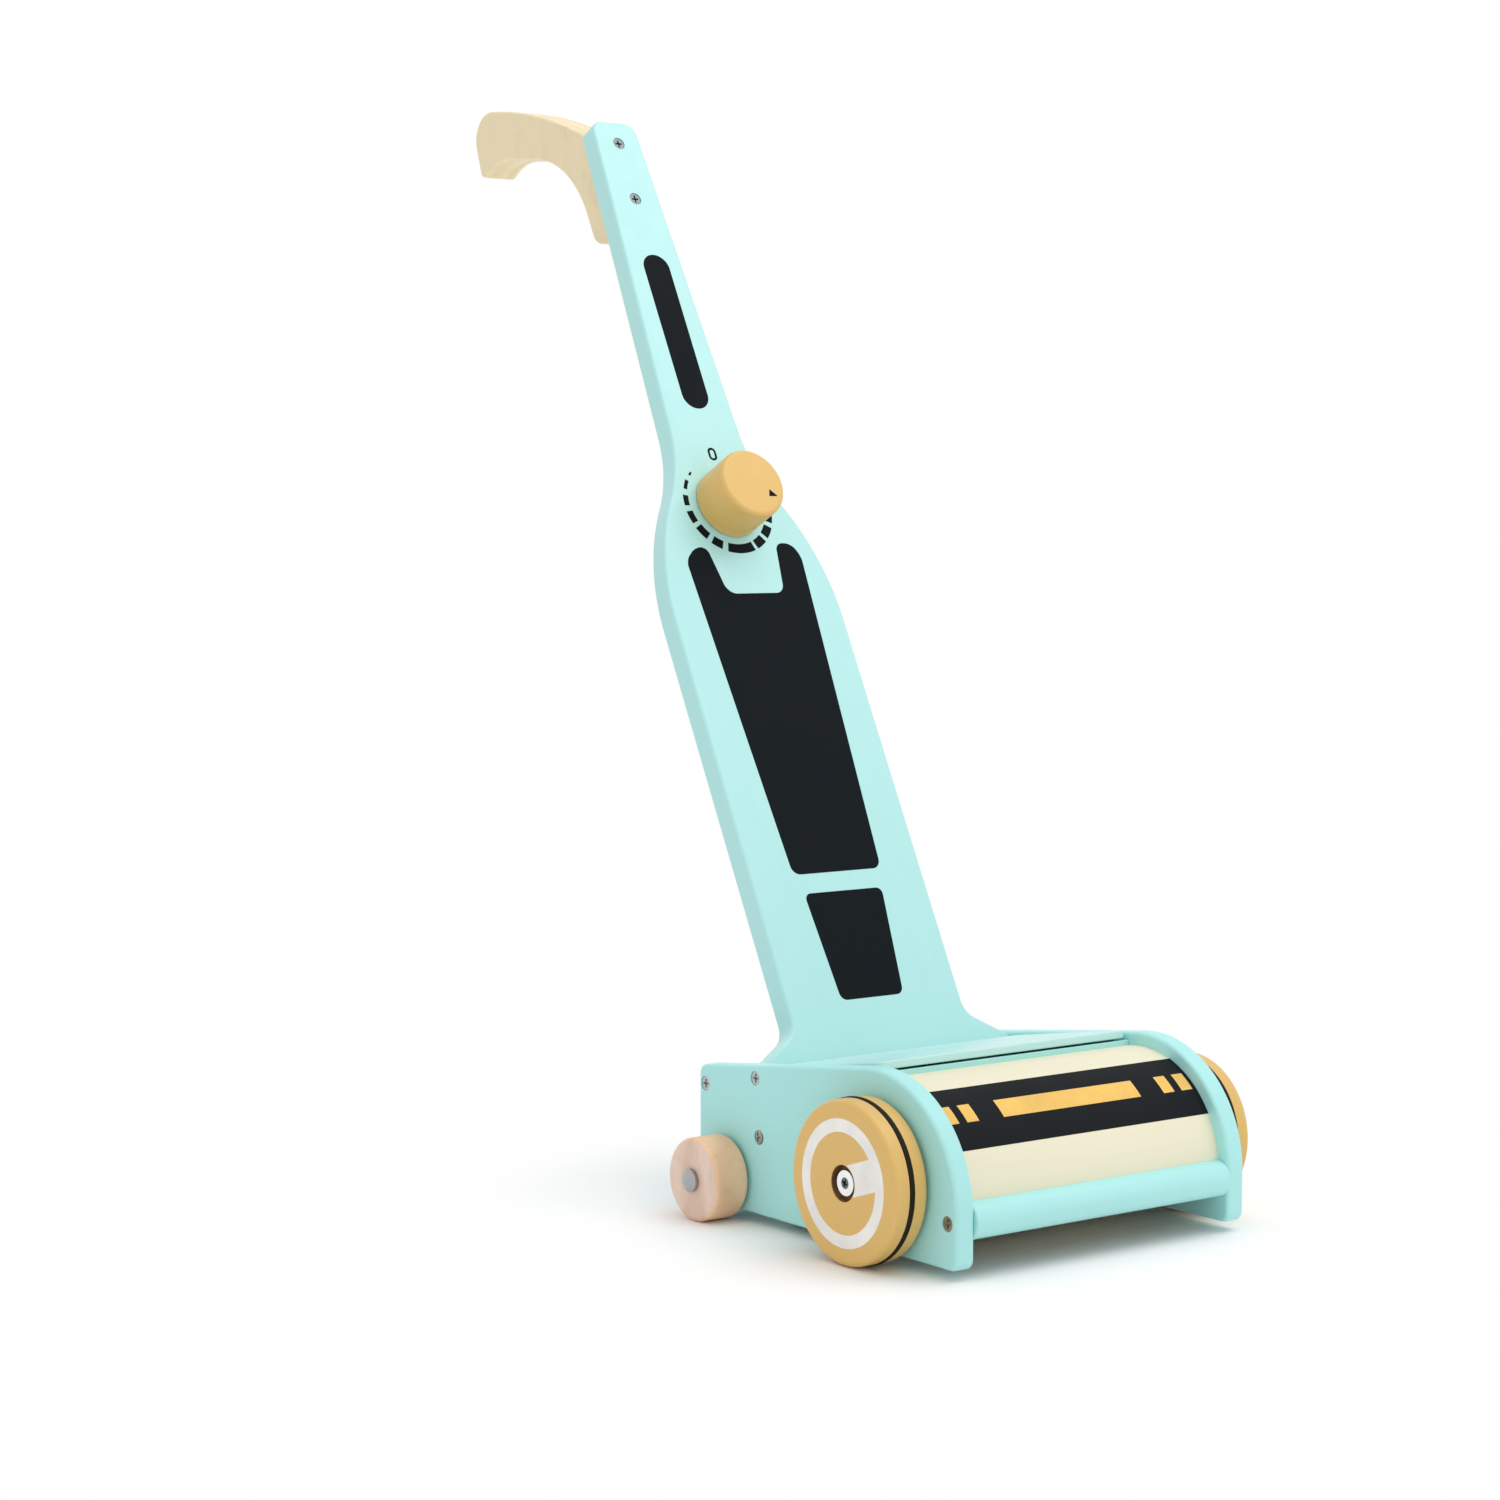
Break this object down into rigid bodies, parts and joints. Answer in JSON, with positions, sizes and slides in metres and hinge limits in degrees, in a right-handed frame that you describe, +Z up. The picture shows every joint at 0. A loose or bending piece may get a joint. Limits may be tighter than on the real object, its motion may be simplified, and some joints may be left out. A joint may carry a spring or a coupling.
{
  "type": "toy vacuum cleaner",
  "caption": "Wooden push-along toy vacuum cleaner: low body on wheels with a magnet roller, bent front cover, emptying hatch, leaning handle board with turning knob and hooked grip.",
  "frame": {"origin": "on the floor under the middle of the overall length, in the plane of symmetry", "axes": "+Z up, the rounded front faces -Y, the grip points to +Y, +X to the right seen from the front"},
  "size_m": [0.2372, 0.546, 0.5884],
  "materials": {
    "mint_paint": "satin mint paint on wood",
    "cream_paint": "satin cream paint on bent plywood with a dark printed band",
    "mustard_paint": "satin mustard paint on wood",
    "birch": "clear lacquered birch",
    "beech": "clear lacquered beech",
    "zinc_steel": "zinc plated",
    "bright_cap": "polished",
    "magnet": "nickel plated",
    "nylon": "natural nylon",
    "rubber": "matt dark rubber"
  },
  "bodies": {
    "body": {"side_panel_left": "mint_paint", "side_panel_right": "mint_paint", "rear_panel": "mint_paint", "front_cover": "cream_paint", "cover_rail": "mint_paint", "front_bar": "mint_paint", "bin_ramp": "birch", "handle_board": "mint_paint", "handle_grip": "birch", "grip_screws": "zinc_steel", "side_screws_left": "zinc_steel", "side_screws_right": "zinc_steel", "hatch_pivot_screw_left": "zinc_steel", "hatch_pivot_screw_right": "zinc_steel", "axle_bush_left": "nylon", "axle_bush_right": "nylon", "rear_axle": "zinc_steel", "rear_axle_cap_left": "bright_cap", "rear_axle_cap_right": "bright_cap", "rear_washers": "nylon", "knob_washer": "zinc_steel"},
    "magnet_roller": {"front_axle": "zinc_steel", "roller_drum": "birch", "roller_magnets": "magnet", "front_wheel_left": "mustard_paint", "front_wheel_right": "mustard_paint", "wheel_ring_left": "rubber", "wheel_ring_right": "rubber", "wheel_washers": "zinc_steel", "wheel_screws": "zinc_steel"},
    "rear_wheel_left": {"rear_wheel_left": "beech"},
    "rear_wheel_right": {"rear_wheel_right": "beech"},
    "knob": {"control_knob": "mustard_paint", "knob_screw": "zinc_steel"},
    "hatch": {"hatch_board": "mint_paint", "hatch_hinge_dowel": "mint_paint"}
  },
  "joints": [
    {"name": "roller_spin", "type": "hinge", "parent": "body", "child": "magnet_roller", "pos_m": [0, -0.21382, 0.04], "axis": [1, 0, 0], "continuous": true},
    {"name": "rear_wheel_left_spin", "type": "hinge", "parent": "body", "child": "rear_wheel_left", "pos_m": [-0.10475, -0.09322, 0.021], "axis": [1, 0, 0], "continuous": true},
    {"name": "rear_wheel_right_spin", "type": "hinge", "parent": "body", "child": "rear_wheel_right", "pos_m": [0.10475, -0.09322, 0.021], "axis": [1, 0, 0], "continuous": true},
    {"name": "knob_turn", "type": "hinge", "parent": "body", "child": "knob", "pos_m": [0, 0.03416, 0.35706], "axis": [0, -0.891, 0.454], "continuous": true},
    {"name": "hatch_open", "type": "hinge", "parent": "body", "child": "hatch", "pos_m": [0, -0.11632, 0.07341], "axis": [-1, 0, 0], "range_deg": [0, 105]}
  ]
}
